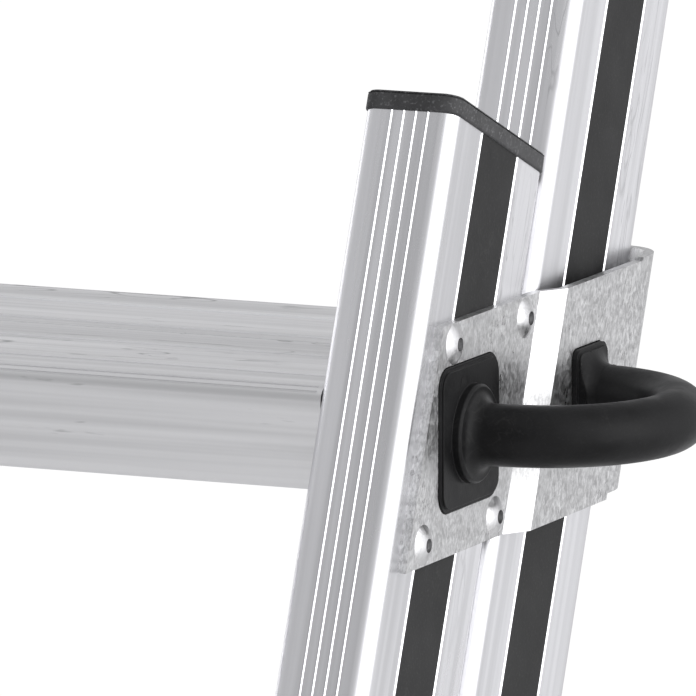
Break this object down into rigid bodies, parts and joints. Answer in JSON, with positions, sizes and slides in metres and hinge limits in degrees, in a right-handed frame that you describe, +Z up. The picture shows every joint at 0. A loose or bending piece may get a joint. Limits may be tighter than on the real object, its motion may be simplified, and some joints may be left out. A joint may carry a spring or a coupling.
{
  "type": "attic ladder",
  "caption": "Two-section sliding aluminium attic ladder with flat treads, hanging hooks, guide brackets and side hand grips.",
  "frame": {"origin": "middle of the round bar that the two hooks hang on, half way between the stiles", "axes": "+X to the right across the ladder as seen when climbing, +Y horizontally away from the climber, +Z up; the ladder leans back at its working angle"},
  "size_m": [0.5078, 1.5087, 3.1845],
  "materials": {
    "aluminium": "mill finish extrusion, fine lines along its length",
    "slide_strip": "matt",
    "galvanised_sheet": "galvanised, faint spangle",
    "rivets": "satin",
    "fasteners": "zinc plated",
    "grip_plastic": "fine moulded grain, satin",
    "cap_plastic": "moulded, matt",
    "rubber": "matt",
    "catch_steel": "yellow passivated"
  },
  "bodies": {
    "upper_section": {"upper_tread_1": "aluminium", "upper_tread_2": "aluminium", "upper_tread_3": "aluminium", "upper_tread_4": "aluminium", "upper_tread_5": "aluminium", "upper_tread_6": "aluminium", "upper_tread_7": "aluminium", "upper_stile_left": "aluminium", "upper_stile_right": "aluminium", "upper_strip_left": "slide_strip", "upper_strip_right": "slide_strip", "upper_cap_left": "cap_plastic", "upper_cap_right": "cap_plastic", "end_cap_left": "cap_plastic", "end_cap_right": "cap_plastic", "tail_bracket_left": "galvanised_sheet", "tail_bracket_right": "galvanised_sheet", "tail_rivets_left": "rivets", "tail_rivets_right": "rivets", "tail_pads_left": "cap_plastic", "tail_pads_right": "cap_plastic", "stop_left": "cap_plastic", "stop_right": "cap_plastic", "hook_left": "galvanised_sheet", "hook_right": "galvanised_sheet", "hook_bolts_left": "fasteners", "hook_bolts_right": "fasteners", "hook_nuts_left": "fasteners", "hook_nuts_right": "fasteners", "pivot_pin_left": "fasteners", "pivot_pin_right": "fasteners"},
    "lower_section": {"lower_tread_1": "aluminium", "lower_tread_2": "aluminium", "lower_tread_3": "aluminium", "lower_tread_4": "aluminium", "lower_tread_5": "aluminium", "lower_tread_6": "aluminium", "lower_tread_7": "aluminium", "lower_stile_left": "aluminium", "lower_stile_right": "aluminium", "lower_strip_left": "slide_strip", "lower_strip_right": "slide_strip", "lower_cap_left": "cap_plastic", "lower_cap_right": "cap_plastic", "shoe_left": "cap_plastic", "shoe_right": "cap_plastic", "sole_left": "rubber", "sole_right": "rubber", "guide_bracket_left": "galvanised_sheet", "guide_bracket_right": "galvanised_sheet", "guide_rivets_left": "rivets", "guide_rivets_right": "rivets", "guide_pads_left": "cap_plastic", "guide_pads_right": "cap_plastic", "handle_left": "grip_plastic", "handle_right": "grip_plastic"},
    "catch_left": {"catch_left": "catch_steel"},
    "catch_right": {"catch_right": "catch_steel"}
  },
  "joints": [
    {"name": "section_slide", "type": "slide", "parent": "upper_section", "child": "lower_section", "axis": [0, 0.3795, 0.9252], "range_m": [0, 1.35]},
    {"name": "catch_left_pivot", "type": "hinge", "parent": "upper_section", "child": "catch_left", "pos_m": [-0.1565, -0.76732, -1.64824], "axis": [1, 0, 0], "range_deg": [-100, 0]},
    {"name": "catch_right_pivot", "type": "hinge", "parent": "upper_section", "child": "catch_right", "pos_m": [0.1565, -0.76732, -1.64824], "axis": [1, 0, 0], "range_deg": [-100, 0]}
  ]
}
